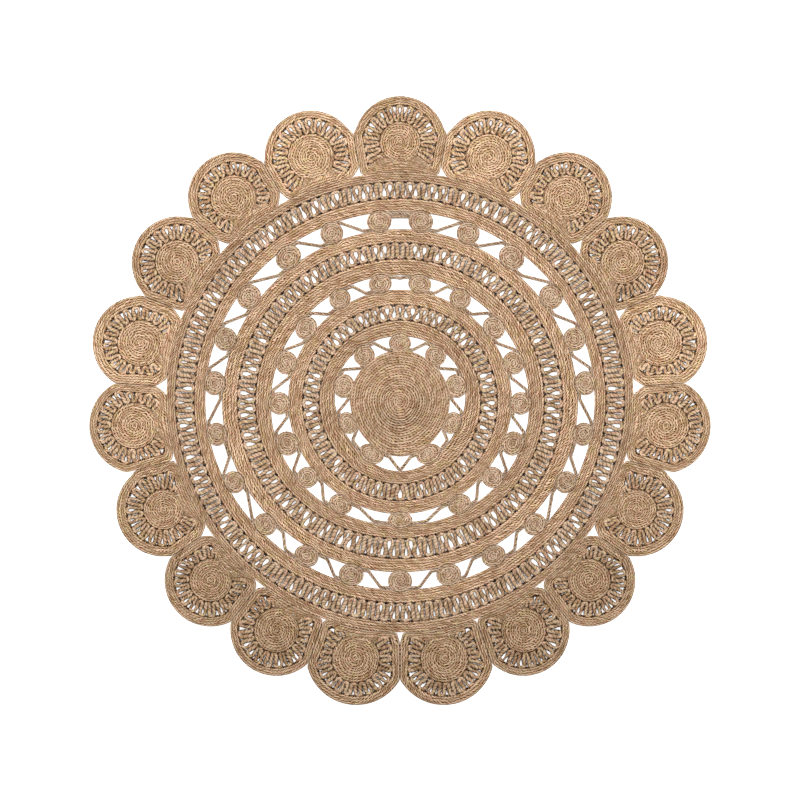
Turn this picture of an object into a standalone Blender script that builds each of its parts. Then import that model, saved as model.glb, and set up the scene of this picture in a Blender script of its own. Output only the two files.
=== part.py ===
# Round jute rug, wound flat from one kind of jute cord and stitched side by side.
# From the middle outwards: a spiral disc, plain bands, chains of coiled rosettes,
# rings of back-and-forth loops, and a scalloped edge of medallions.
#
# The tables hold millimetres. Angles are degrees, clockwise from the top edge as
# seen from above, and the left half of the rug mirrors the right half.

import bmesh
import bpy
from math import acos, atan2, ceil, cos, degrees, hypot, pi, radians, sin, sqrt

MM = 0.001

CORD = 8.0                # thickness of the rug where rows of cord lie side by side
FREE_CORD = 9.0           # thickness of a loop or a rosette, wound a little looser
TIE_WIDTH = 9.6           # width of the cord that slants between two rosettes
TIE_THICKNESS = 8.0
TIE_LIFT = 0.3            # height of the slanting cord's underside
SEAM = 0.3                # gap between neighbouring pieces
TIE_CLEARANCE = 1.2       # gap between a slanting cord and the band beside it
FLATNESS = 0.65           # largest distance from a round edge to its straight facets

# Outer edge of each piece, from the centre out: its radius at five angles.
RING_EDGES = [
    # piece               0     45     90    135    180
    ("centre_disc",     150.3, 147.4, 147.4, 150.3, 162.7),
    ("rosette_chain_1", 191.6, 194.6, 191.6, 188.1, 205.5),
    ("band_1",          237.0, 237.0, 237.0, 238.8, 243.2),
    ("loop_ring_1",     286.0, 287.4, 288.9, 291.9, 294.8),
    ("band_2",          329.3, 327.2, 330.2, 328.1, 332.5),
    ("rosette_chain_2", 371.4, 372.9, 380.3, 376.2, 365.6),
    ("band_3",          418.3, 420.1, 424.5, 415.7, 403.0),
    ("loop_ring_2",     468.7, 473.2, 481.1, 473.2, 465.8),
    ("band_4",          507.9, 510.9, 524.7, 513.8, 504.1),
    ("rosette_chain_3", 558.6, 564.5, 573.4, 559.5, 555.7),
    ("band_5",          596.4, 599.9, 605.5, 598.4, 593.4),
    ("loop_ring_3",     648.6, 657.4, 663.9, 654.5, 651.5),
    ("band_6",          675.1, 683.9, 688.4, 677.5, 681.0),
]

# Rosettes of the right half: angle, half the length along the ring, and the angles
# where the cord to the next one leaves the inner side and reaches the outer side.
ROSETTE_SIDES = 16
ROSETTE_PRESS = 7.0       # how far a rosette presses into the bands beside it
PRESSED_FROM = 0.6        # share of a rosette's half-width from which its corners shape a band
TIE_HIDDEN = 0.5          # share of a rosette's half-length that covers the cord's end
ROSETTES = {
    "rosette_chain_1": [
        (0.0,   33.0,  13.5,  24.0),
        (38.0,  31.5,  50.5,  60.5),
        (74.8,  35.4,  88.0,  99.5),
        (112.5, 33.3, 123.7, 129.5),
        (151.5, 37.7, 169.0, 179.0),
    ],
    "rosette_chain_2": [
        (9.6,   34.5,  17.5,  22.5),
        (30.4,  32.7,  39.5,  45.0),
        (52.0,  35.1,  59.0,  65.8),
        (71.3,  34.5,  78.0,  84.8),
        (91.0,  33.6,  97.8, 104.0),
        (110.5, 36.3, 117.3, 123.0),
        (129.4, 31.2, 136.3, 142.3),
        (150.0, 35.1, 159.0, 167.5),
        (180.0, 36.9, 180.0, 180.0),
    ],
    "rosette_chain_3": [
        (6.6,   36.6,  12.0,  18.5),
        (22.1,  34.2,  27.0,  32.8),
        (37.8,  39.5,  44.0,  51.3),
        (55.3,  36.9,  60.7,  66.0),
        (70.4,  34.8,  75.2,  80.0),
        (84.4,  36.0,  89.3,  96.3),
        (100.2, 34.8, 108.0, 112.5),
        (116.0, 33.6, 121.0, 128.5),
        (132.4, 34.8, 138.3, 142.3),
        (148.8, 36.6, 155.3, 159.5),
        (164.3, 36.9, 169.5, 174.0),
        (180.0, 36.0, 180.0, 180.0),
    ],
}

# Openings of the loop rings, counted from the top down the right half.
LOOP_OPENINGS = [
    # angle  ring 1  ring 2  ring 3
    (0.0,      0.0,    0.0,    0.0),
    (15.0,     3.9,    8.1,   10.4),
    (30.0,     9.5,   15.2,   20.8),
    (45.0,    14.3,   22.7,   32.5),
    (60.0,    19.1,   30.8,   43.0),
    (75.0,    23.6,   38.5,   54.5),
    (90.0,    27.6,   46.5,   65.7),
    (105.0,   32.1,   54.4,   76.0),
    (120.0,   36.7,   62.8,   86.0),
    (135.0,   41.3,   70.6,   97.4),
    (150.0,   46.9,   79.6,  108.1),
    (165.0,   52.7,   87.2,  119.8),
    (180.0,   58.0,   94.0,  131.0),
]
# The widest openings of each loop ring, which are cut through, by their count.
CUT_OPENINGS = {
    "loop_ring_1": (1, 2, 3, 8, 11, 14, 15, 23, 24, 28, 29, 30, 33, 41, 58),
    "loop_ring_2": (3, 5, 8, 9, 10, 17, 18, 19, 34, 40, 41, 45, 48, 49, 53, 55, 67, 69, 74, 75,
                    83, 85, 92),
    "loop_ring_3": (2, 3, 7, 12, 16, 17, 19, 21, 26, 27, 31, 43, 48, 63, 70, 76, 80, 89, 90, 96,
                    97, 101),
}
OPENING_WIDTH = {"loop_ring_1": 13.0, "loop_ring_2": 9.5, "loop_ring_3": 9.5}
OPENING_LENGTH = 25.0
OPENING_OFFSET = 0.12     # how far an opening lies off the ring's middle, as a share of its width

# Medallions of the right half: angle, radius of the arc's centre, the arc, the
# angle where it touches the next one, and the radius of its coiled eye's centre.
# Between the two and the last band a small corner stays open. Its height above the
# band follows, then how far its two feet lie before and after the touch, in degrees.
MEDALLION_SIDES = 32
MEDALLIONS = [
    (0.0,   764.7, 135.0,   9.9,  763.5, 25.0, 0.1, 1.7),
    (20.0,  767.1, 136.4,  29.85, 766.5, 30.0, 0.8, 1.8),
    (39.3,  776.0, 133.5,  48.5,  774.0, 30.0, 1.0, 2.0),
    (58.0,  771.8, 136.1,  67.7,  774.4, 31.0, 0.3, 1.6),
    (77.4,  786.8, 138.2,  86.4,  784.0, 30.0, 1.9, 1.8),
    (95.3,  778.0, 141.1, 104.6,  787.0, 11.0, 1.8, 0.3),
    (114.6, 768.8, 137.0, 124.2,  767.0, 27.0, 1.6, 1.5),
    (133.4, 767.4, 136.4, 142.5,  768.2, 17.0, 1.4, 1.4),
    (151.6, 765.9, 135.8, 160.7,  767.5,  9.0, 0.6, 0.5),
    (170.2, 757.6, 148.8, 180.0,  770.0, 33.0, 0.7, 0.7),
]
SHOULDERS = (70.0, 100.0)  # directions from the arc's middle between which its sides straighten
STRAIGHTENED = 0.16       # how far out the arc has moved by then, as a share of its radius
CORNER_ROOM = 3.0         # plain directions this close to a corner, in degrees, are left out
FAN_OPENINGS = (-42.0, 0.0, 42.0)  # directions of the cut openings around an eye
FAN_RADIUS = 85.0
FAN_WIDTH = 9.5
FAN_LENGTH = 26.0

# Linear base colours of the dry jute, by the way the cord is laid.
DISC_COLOUR = (0.475, 0.304, 0.186)
BAND_COLOUR = (0.494, 0.315, 0.190)
ROSETTE_COLOUR = (0.481, 0.326, 0.215)
LOOP_COLOUR = (0.441, 0.307, 0.209)
MEDALLION_COLOUR = (0.453, 0.294, 0.180)
JUTE_ROUGHNESS = 0.9


def polar(radius, angle):
    """Point at a radius and a clockwise angle from the pattern's centre."""
    return (radius * sin(radians(angle)), radius * cos(radians(angle)))


def edge_radius(piece, angle):
    """Radius of a piece's outer edge: a smooth cosine series through its table row."""
    row = next(entry for entry in RING_EDGES if entry[0] == piece)
    samples = row[1:]
    last = len(samples) - 1
    radius = 0.0
    for order in range(last + 1):
        total = 0.0
        for index, sample in enumerate(samples):
            share = 0.5 if index in (0, last) else 1.0
            total += share * sample * cos(pi * index * order / last)
        share = 0.5 if order in (0, last) else 1.0
        radius += share * total * 2.0 / last * cos(order * radians(angle))
    return radius


def inner_neighbour(piece):
    """Name of the piece just inside this one."""
    names = [entry[0] for entry in RING_EDGES]
    return names[names.index(piece) - 1]


def outer_neighbour(piece):
    """Name of the piece just outside this one, or None for the outermost."""
    names = [entry[0] for entry in RING_EDGES]
    place = names.index(piece) + 1
    return names[place] if place < len(names) else None


def mirrored(angles):
    """Angles of the right half together with their mirror images on the left."""
    left = [-angle for angle in angles if angle not in (0.0, 180.0)]
    return sorted(angles) + left


def rosette_list(chain):
    """Every rosette of a chain: angle, centre radius and its two half-lengths."""
    inner = inner_neighbour(chain)
    half_lengths = {row[0]: row[1] for row in ROSETTES[chain]}
    rosettes = []
    for angle in mirrored(list(half_lengths)):
        inside = edge_radius(inner, angle)
        outside = edge_radius(chain, angle)
        across = (outside - inside) / 2 + ROSETTE_PRESS
        rosettes.append((angle, (inside + outside) / 2, half_lengths[abs(angle)], across))
    return rosettes


def rosette_corners(centre_radius, along, across):
    """Corners of a rosette as offsets: along the ring, and outwards from the centre."""
    corners = []
    for side in range(ROSETTE_SIDES):
        turn = 2 * pi * side / ROSETTE_SIDES
        corners.append((along * sin(turn), centre_radius + across * cos(turn)))
    return corners


def rosette_reach(rosette, angle, outward):
    """Radius where a ray leaves a rosette's edge, a seam's width away, or None."""
    centre_angle, centre_radius, along, across = rosette
    turn = radians(angle - centre_angle)
    along += SEAM
    across += SEAM
    square = (sin(turn) / along) ** 2 + (cos(turn) / across) ** 2
    middle = centre_radius * cos(turn) / across ** 2
    rest = (centre_radius / across) ** 2 - 1.0
    inside = middle ** 2 - square * rest
    if middle < 0.0 or inside < 0.0:
        return None
    return (middle + outward * sqrt(inside)) / square


def facet_angles(radius):
    """Evenly spread angles that keep straight facets close to a round edge."""
    sides = 2 * ceil(pi / acos(1.0 - FLATNESS / radius) / 2)
    return [360.0 * side / sides for side in range(sides)]


def edge_outline(piece, outward):
    """Outline along a piece's outer edge, on its inner (-1) or outer (+1) side.

    Beside a rosette chain the band's edge is pressed back around each rosette.
    """
    chain = None
    if outward > 0 and piece in ROSETTES:
        chain = piece
    if outward < 0 and outer_neighbour(piece) in ROSETTES:
        chain = outer_neighbour(piece)
    angles = facet_angles(edge_radius(piece, 90.0))
    rosettes = rosette_list(chain) if chain else []
    for centre_angle, centre_radius, along, across in rosettes:
        for offset, height in rosette_corners(centre_radius, along + SEAM, across + SEAM):
            if outward * (height - centre_radius) > PRESSED_FROM * across:
                angles.append((centre_angle + degrees(atan2(offset, height))) % 360.0)
    outline = []
    for angle in sorted(set(round(angle, 4) for angle in angles)):
        radius = edge_radius(piece, angle) + outward * SEAM / 2
        for rosette in rosettes:
            reach = rosette_reach(rosette, angle, outward)
            if reach is not None:
                radius = max(radius, reach) if outward > 0 else min(radius, reach)
        outline.append(polar(radius, angle))
    return outline


def opening_angle(column, count):
    """Angle on the right half at which a loop ring's openings reach a count."""
    for before, after in zip(LOOP_OPENINGS, LOOP_OPENINGS[1:]):
        if count <= after[column]:
            share = (count - before[column]) / (after[column] - before[column])
            return before[0] + share * (after[0] - before[0])
    return LOOP_OPENINGS[-1][0]


def opens_outward(column, count):
    """Side of the ring that an opening widens towards: +1 outer, -1 inner, in turns."""
    return 1 if (count + column) % 2 else -1


def opening_outline(centre, direction, width, length, wide_end):
    """Drop-shaped opening: a tip, a belly, and a blunt end on its wide side."""
    shape = [(0.0, -0.5), (0.5, 0.1), (0.3, 0.5), (-0.3, 0.5), (-0.5, 0.1)]
    heading = radians(direction)
    outline = []
    for side, forth in shape:
        sideways = side * width
        forwards = forth * length * wide_end
        outline.append((
            centre[0] + forwards * sin(heading) + sideways * cos(heading),
            centre[1] + forwards * cos(heading) - sideways * sin(heading),
        ))
    return outline


def ring_openings(piece):
    """Outlines of the openings cut through a loop ring."""
    column = int(piece[-1])
    outlines = []
    for count in CUT_OPENINGS[piece]:
        outward = opens_outward(column, count)
        right = opening_angle(column, count)
        for angle in mirrored([right]):
            inside = edge_radius(inner_neighbour(piece), angle)
            outside = edge_radius(piece, angle)
            middle = (inside + outside) / 2 + outward * OPENING_OFFSET * (outside - inside)
            centre = polar(middle, angle)
            width = OPENING_WIDTH[piece]
            outlines.append(opening_outline(centre, angle, width, OPENING_LENGTH, outward))
    return outlines


def line_distance(point, heading, line_angle, side):
    """Distance along a heading from a point to a line through the pattern's centre."""
    normal = (side * cos(radians(line_angle)), -side * sin(radians(line_angle)))
    closing = heading[0] * normal[0] + heading[1] * normal[1]
    room = -(point[0] * normal[0] + point[1] * normal[1]) - SEAM / 2
    return room / closing if closing > 0.0 else float("inf")


def base_distance(point, heading):
    """Distance along a heading from a point down to the last band."""
    closing = point[0] * heading[0] + point[1] * heading[1]
    distance = float("inf")
    angle = degrees(atan2(*point))
    for _ in range(3):
        radius = edge_radius("band_6", angle) + SEAM / 2
        inside = closing ** 2 - hypot(*point) ** 2 + radius ** 2
        if closing > 0.0 or inside < 0.0:
            return float("inf")
        distance = -closing - sqrt(inside)
        angle = degrees(atan2(point[0] + distance * heading[0], point[1] + distance * heading[1]))
    return distance


def corner_points(touch, side, rise, back):
    """Tip of an open corner on the touching line, and its foot on the last band."""
    tip = polar(edge_radius("band_6", touch) + rise, touch)
    foot_angle = touch - side * back
    return tip, polar(edge_radius("band_6", foot_angle), foot_angle)


def corner_distance(point, heading, tip, foot, side):
    """Distance along a heading from a point to the line through a corner's tip and foot."""
    run = (foot[0] - tip[0], foot[1] - tip[1])
    normal = (-side * run[1], side * run[0])
    closing = heading[0] * normal[0] + heading[1] * normal[1]
    room = (tip[0] - point[0]) * normal[0] + (tip[1] - point[1]) * normal[1]
    return room / closing if closing > 0.0 else float("inf")


def direction_between(start, end, angle):
    """Direction from one point to another, clockwise from an angle, in degrees."""
    bearing = degrees(atan2(end[0] - start[0], end[1] - start[1]))
    return (bearing - angle) % 360.0


def medallion_outline(angle, centre_radius, arc, corner_before, corner_after):
    """Round head of a medallion, flat where it meets its neighbours and the last band."""
    centre = polar(centre_radius, angle)
    corners = []
    for (touch, rise, back), side in ((corner_before, -1), (corner_after, 1)):
        corners.append((touch, side, *corner_points(touch, side, rise, back)))
    special = []
    for touch, side, tip, foot in corners:
        special += [direction_between(centre, tip, angle), direction_between(centre, foot, angle)]
    turns = list(special)
    for side in range(MEDALLION_SIDES):
        turn = 360.0 * side / MEDALLION_SIDES
        if min(abs(turn - other) for other in special) > CORNER_ROOM:
            turns.append(turn)
    outline = []
    for turn in sorted(turns):
        heading = polar(1.0, angle + turn)
        past = (min(turn, 360.0 - turn) - SHOULDERS[0]) / (SHOULDERS[1] - SHOULDERS[0])
        past = min(max(past, 0.0), 1.0)
        reach = [arc * (1.0 + STRAIGHTENED * past * past * (3.0 - 2.0 * past))]
        reach.append(base_distance(centre, heading))
        for touch, side, tip, foot in corners:
            reach.append(line_distance(centre, heading, touch, side))
            if turn > 90.0 and turn < 270.0:
                reach.append(corner_distance(centre, heading, tip, foot, side))
        distance = min(reach)
        outline.append((centre[0] + distance * heading[0], centre[1] + distance * heading[1]))
    return outline


def medallion_openings(angle, eye_radius):
    """Outlines of the openings cut in the fan of loops around a medallion's eye."""
    eye = polar(eye_radius, angle)
    outlines = []
    for turn in FAN_OPENINGS:
        offset = polar(FAN_RADIUS, angle + turn)
        centre = (eye[0] + offset[0], eye[1] + offset[1])
        outlines.append(opening_outline(centre, angle + turn, FAN_WIDTH, FAN_LENGTH, 1))
    return outlines


def flip(outline):
    """Mirror image of an outline across the rug's middle line."""
    return [(-x, y) for x, y in outline]


def pattern_centre():
    """Height of the pattern's centre that puts the rug's middle on the world origin."""
    top = max(y for x, y in medallion_outline(*medallion_row(0)))
    bottom = min(y for x, y in medallion_outline(*medallion_row(len(MEDALLIONS) - 1)))
    return -(top + bottom) / 2


def medallion_row(index):
    """Angle, arc centre, arc and both open corners of a medallion of the right half."""
    angle, centre_radius, arc, touch, _, rise, back, _ = MEDALLIONS[index]
    corner_before = (-touch, rise, back)
    if index:
        before = MEDALLIONS[index - 1]
        corner_before = (before[3], before[5], before[7])
    return angle, centre_radius, arc, corner_before, (touch, rise, back)


def jute(name, colour):
    """Dry jute fibre, with the piece's own colour."""
    material = bpy.data.materials.new(name + "_jute")
    material.use_nodes = True
    shader = material.node_tree.nodes["Principled BSDF"]
    shader.inputs["Base Color"].default_value = (*colour, 1.0)
    shader.inputs["Roughness"].default_value = JUTE_ROUGHNESS
    shader.inputs["Metallic"].default_value = 0.0
    material.diffuse_color = (*colour, 1.0)
    return material


def place(name, data, colour, height):
    """Link an object with its material, centred over the world origin."""
    data.materials.append(jute(name, colour))
    piece = bpy.data.objects.new(name, data)
    piece.location = (0.0, pattern_centre() * MM, height * MM)
    bpy.context.scene.collection.objects.link(piece)
    return piece


def flat_piece(name, outlines, thickness, colour):
    """Solid of even thickness between its outlines; outlines inside the first are holes."""
    curve = bpy.data.curves.new(name, "CURVE")
    curve.dimensions = "2D"
    curve.fill_mode = "BOTH"
    curve.extrude = thickness / 2 * MM
    for outline in outlines:
        spline = curve.splines.new("POLY")
        spline.points.add(len(outline) - 1)
        for point, (x, y) in zip(spline.points, outline):
            point.co = (x * MM, y * MM, 0.0, 1.0)
        spline.use_cyclic_u = True
    return place(name, curve, colour, thickness / 2)


def prisms(name, outlines, thickness):
    """Mesh of separate upright prisms, one on each outline."""
    shape = bmesh.new()
    for outline in outlines:
        corners = [shape.verts.new((x * MM, y * MM, 0.0)) for x, y in outline]
        floor = shape.faces.new(corners)
        raised = bmesh.ops.extrude_face_region(shape, geom=[floor])["geom"]
        lifted = [item for item in raised if isinstance(item, bmesh.types.BMVert)]
        bmesh.ops.translate(shape, verts=lifted, vec=(0.0, 0.0, thickness * MM))
    bmesh.ops.recalc_face_normals(shape, faces=shape.faces)
    mesh = bpy.data.meshes.new(name)
    shape.to_mesh(mesh)
    shape.free()
    return mesh


def ribbon(path, width):
    """Outline of a strip of even width along a path."""
    left = []
    right = []
    for index, (x, y) in enumerate(path):
        before = path[max(index - 1, 0)]
        after = path[min(index + 1, len(path) - 1)]
        run = (after[0] - before[0], after[1] - before[1])
        length = hypot(*run)
        step = (-run[1] / length * width / 2, run[0] / length * width / 2)
        left.append((x + step[0], y + step[1]))
        right.append((x - step[0], y - step[1]))
    return left + right[::-1]


def tie_path(chain, start, leaves, reaches, end):
    """Path of a cord along the ring's inner edge, then across, then along its outer edge."""
    inset = TIE_WIDTH / 2 + TIE_CLEARANCE
    inner = inner_neighbour(chain)
    path = [polar(edge_radius(inner, angle) + inset, angle) for angle in (start, leaves)]
    path += [polar(edge_radius(chain, angle) - inset, angle) for angle in (reaches, end)]
    return path


def hidden_angle(rosette):
    """Angle between a rosette's centre and the hidden end of a cord."""
    return TIE_HIDDEN * degrees(rosette[2] / rosette[1])


def crossing(chain, rosette, width, sag):
    """Strip of cord over the gap at the top, from a rosette to its mirror image."""
    near = rosette[0] - hidden_angle(rosette)
    end = edge_radius(chain, near) - width / 2 - TIE_CLEARANCE
    middle = edge_radius(chain, 0.0) - width / 2 - TIE_CLEARANCE - sag
    return ribbon([polar(end, -near), polar(middle, 0.0), polar(end, near)], width)


def tie_outlines(chain):
    """Outlines of every cord between the rosettes of a chain."""
    rosettes = {rosette[0]: rosette for rosette in rosette_list(chain)}
    rows = ROSETTES[chain]
    outlines = []
    for row, following in zip(rows, rows[1:]):
        start = row[0] + hidden_angle(rosettes[row[0]])
        end = following[0] - hidden_angle(rosettes[following[0]])
        outline = ribbon(tie_path(chain, start, row[2], row[3], end), TIE_WIDTH)
        outlines += [outline, flip(outline)]
    if chain == "rosette_chain_1":
        angle, _, leaves, reaches = rows[-1]
        start = angle + hidden_angle(rosettes[angle])
        half = tie_path(chain, start, leaves, reaches, 180.0)
        outlines.append(ribbon(half + flip(half[2::-1]), TIE_WIDTH))
    if chain == "rosette_chain_2":
        outlines.append(crossing(chain, rosettes[rows[0][0]], TIE_WIDTH, TIE_WIDTH / 2))
    if chain == "rosette_chain_3":
        outlines.append(crossing(chain, rosettes[rows[0][0]], 2 * TIE_WIDTH, 0.0))
    return outlines


def rosette_chain(name):
    """Coiled rosettes joined into one body by the cord that runs between them."""
    rosettes = []
    for centre_angle, centre_radius, along, across in rosette_list(name):
        outline = []
        for offset, height in rosette_corners(centre_radius, along, across):
            outline.append(polar(hypot(offset, height), centre_angle + degrees(atan2(offset, height))))
        rosettes.append(outline)
    chain = place(name, prisms(name, rosettes, FREE_CORD), ROSETTE_COLOUR, 0.0)
    ties = place(name + "_ties", prisms(name + "_ties", tie_outlines(name), TIE_THICKNESS),
                 ROSETTE_COLOUR, TIE_LIFT)
    ties.hide_render = True
    ties.display_type = "WIRE"
    joined = chain.modifiers.new("ties", "BOOLEAN")
    joined.operation = "UNION"
    joined.solver = "EXACT"
    joined.object = ties


def ring_piece(name):
    """Disc, band or loop ring, between its own edge and the edge just inside it."""
    outlines = [edge_outline(name, -1)]
    if name != "centre_disc":
        outlines.append(edge_outline(inner_neighbour(name), 1))
    if name in CUT_OPENINGS:
        flat_piece(name, outlines + ring_openings(name), FREE_CORD, LOOP_COLOUR)
    elif name == "centre_disc":
        flat_piece(name, outlines, CORD, DISC_COLOUR)
    else:
        flat_piece(name, outlines, CORD, BAND_COLOUR)


def medallions():
    """The scalloped edge: numbered clockwise from the top one."""
    shapes = []
    for index, (angle, _, _, _, eye_radius, *_) in enumerate(MEDALLIONS):
        outline = medallion_outline(*medallion_row(index))
        shapes.append([outline] + medallion_openings(angle, eye_radius))
    shapes += [[flip(outline) for outline in shape] for shape in shapes[:0:-1]]
    for number, shape in enumerate(shapes, start=1):
        flat_piece("medallion_%02d" % number, shape, CORD, MEDALLION_COLOUR)


def build():
    for leftover in list(bpy.data.objects):
        bpy.data.objects.remove(leftover)
    for name, *_ in RING_EDGES:
        if name in ROSETTES:
            rosette_chain(name)
        else:
            ring_piece(name)
    medallions()


build()
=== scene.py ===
# Round jute rug: a coiled disc, plain bands, chains of small coiled rosettes, rings of
# back-and-forth loops, and a scalloped edge of medallions, all laid from one twisted cord.
# Tables are in millimetres. Angles are degrees, clockwise from the top as seen from above.
import math
import random
from functools import partial
from itertools import groupby

import bmesh
import bpy
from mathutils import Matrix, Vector, noise


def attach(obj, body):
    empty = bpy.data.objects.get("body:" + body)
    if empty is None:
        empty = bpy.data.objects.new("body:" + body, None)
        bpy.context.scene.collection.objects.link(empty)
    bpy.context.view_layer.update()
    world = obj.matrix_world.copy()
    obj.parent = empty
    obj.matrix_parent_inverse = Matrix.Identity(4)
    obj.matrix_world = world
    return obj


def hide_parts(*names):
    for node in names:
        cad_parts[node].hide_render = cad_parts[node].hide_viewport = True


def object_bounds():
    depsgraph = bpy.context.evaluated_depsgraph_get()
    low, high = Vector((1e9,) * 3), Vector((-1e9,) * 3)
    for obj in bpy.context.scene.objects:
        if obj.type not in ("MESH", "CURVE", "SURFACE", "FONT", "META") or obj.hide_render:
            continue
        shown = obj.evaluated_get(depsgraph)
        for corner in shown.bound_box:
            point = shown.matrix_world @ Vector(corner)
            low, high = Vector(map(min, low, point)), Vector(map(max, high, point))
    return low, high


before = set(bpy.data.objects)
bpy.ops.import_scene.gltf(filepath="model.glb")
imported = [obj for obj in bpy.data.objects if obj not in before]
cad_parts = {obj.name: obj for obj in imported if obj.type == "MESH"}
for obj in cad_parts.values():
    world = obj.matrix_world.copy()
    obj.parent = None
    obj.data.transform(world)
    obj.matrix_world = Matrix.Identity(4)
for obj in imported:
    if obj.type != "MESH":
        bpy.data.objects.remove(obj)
cadLow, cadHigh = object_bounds()
scene = bpy.context.scene
mm = 0.001
print("frame loaded:", len(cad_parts), "nodes")


def addObject(name, data, place=(0.0, 0.0, 0.0)):
    made = bpy.data.objects.new(name, data)
    made.location = place
    scene.collection.objects.link(made)
    return made


def fill(tree, node, values):
    # links each input to a socket or sets it to a value, and gives the outputs
    for label, value in values.items():
        if isinstance(value, bpy.types.NodeSocket):
            tree.links.new(value, node.inputs[label])
        else:
            node.inputs[label].default_value = value
    return node.outputs


# camera, floor and light

view = {"across": 2.358, "height": 5.0, "middleY": 0.0015}

camData = bpy.data.cameras.new("topView")
camData.type = "ORTHO"
camData.ortho_scale = view["across"]
scene.camera = addObject("topView", camData, (0.0, view["middleY"], view["height"]))
scene.view_settings.view_transform = "Standard"

studio = {
    "floorSize": 8.0,
    "floorColour": (0.95, 0.95, 0.95),
    "floorGlow": 0.75,        # keeps the floor white down in the openings
    "panelSize": 2.6,
    "panelAt": (3.4, 3.4, 3.8),
    "back": 197.0,            # watts of each panel at the top of the picture
    "front": 45.0,            # watts of each panel at the bottom
    "world": 0.28,
}


def makeFloor():
    bm = bmesh.new()
    bmesh.ops.create_grid(bm, x_segments=1, y_segments=1, size=studio["floorSize"] / 2)
    mesh = bpy.data.meshes.new("floor")
    bm.to_mesh(mesh)
    bm.free()
    floor = addObject("floor", mesh, (0.0, 0.0, -0.0005))
    paint = bpy.data.materials.new("pale floor")
    paint.use_nodes = True
    fill(paint.node_tree, paint.node_tree.nodes["Principled BSDF"],
         {"Base Color": (*studio["floorColour"], 1.0), "Roughness": 0.95, "Specular IOR Level": 0.0,
          "Emission Color": (1.0, 1.0, 1.0, 1.0), "Emission Strength": studio["floorGlow"]})
    mesh.materials.append(paint)
    return floor


def softPanel(name, place, power):
    lamp = bpy.data.lights.new(name, "AREA")
    lamp.shape = "DISK"
    lamp.size = studio["panelSize"]
    lamp.energy = power
    panel = addObject(name, lamp, place)
    panel.rotation_euler = (-Vector(place)).to_track_quat("-Z", "Y").to_euler()


floor = makeFloor()
panelX, panelY, panelZ = studio["panelAt"]
for side, label in ((-1, "left"), (1, "right")):
    for way, end in ((1, "back"), (-1, "front")):
        softPanel(f"{end} {label}", (side * panelX, way * panelY, panelZ), studio[end])
scene.world = scene.world or bpy.data.worlds.new("studio")
scene.world.use_nodes = True
fill(scene.world.node_tree, scene.world.node_tree.nodes["Background"],
     {"Color": (1.0, 1.0, 1.0, 1.0), "Strength": studio["world"]})
print("camera, floor and light ready")


# the rug's plan: every piece ends where the next one starts

seam = 0.08
ringEdges = {
    # outer radius at     0      45     90     135    180
    "centre_disc":     (150.3, 147.4, 147.4, 150.3, 162.7),
    "rosette_chain_1": (191.6, 194.6, 191.6, 188.1, 205.5),
    "band_1":          (237.0, 237.0, 237.0, 238.8, 243.2),
    "loop_ring_1":     (286.0, 287.4, 288.9, 291.9, 294.8),
    "band_2":          (329.3, 327.2, 330.2, 328.1, 332.5),
    "rosette_chain_2": (371.4, 372.9, 380.3, 376.2, 365.6),
    "band_3":          (418.3, 420.1, 424.5, 415.7, 403.0),
    "loop_ring_2":     (468.7, 473.2, 481.1, 473.2, 465.8),
    "band_4":          (507.9, 510.9, 524.7, 513.8, 504.1),
    "rosette_chain_3": (558.6, 564.5, 573.4, 559.5, 555.7),
    "band_5":          (596.4, 599.9, 605.5, 598.4, 593.4),
    "loop_ring_3":     (648.6, 657.4, 663.9, 654.5, 651.5),
    "band_6":          (675.1, 683.9, 688.4, 677.5, 681.0),
}
ringNames = list(ringEdges)


def edgeSeries(samples):
    # cosine terms of the smooth closed curve through five radii
    last = len(samples) - 1
    weights = [0.5 if index in (0, last) else 1.0 for index in range(last + 1)]
    return [weight * 2.0 / last * sum(
        weights[index] * sample * math.cos(math.pi * index * order / last)
        for index, sample in enumerate(samples)) for order, weight in enumerate(weights)]


edgeTerms = {name: edgeSeries(samples) for name, samples in ringEdges.items()}


def edgeRadius(name, angle):
    turn = math.radians(angle)
    return sum(term * math.cos(order * turn) for order, term in enumerate(edgeTerms[name]))


def pointAt(radius, angle, centre=(0.0, 0.0)):
    turn = math.radians(angle)
    return centre[0] + radius * math.sin(turn), centre[1] + radius * math.cos(turn)


def eased(share):
    # from 0 to 1 with soft ends
    share = min(max(share, 0.0), 1.0)
    return share * share * (3.0 - 2.0 * share)


def insideOf(name):
    return ringNames[ringNames.index(name) - 1]


def outsideOf(name):
    # the outermost ring gives itself
    return ringNames[min(ringNames.index(name) + 1, len(ringNames) - 1)]


def meanRadius(name):
    return sum(ringEdges[name]) / len(ringEdges[name])


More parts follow.
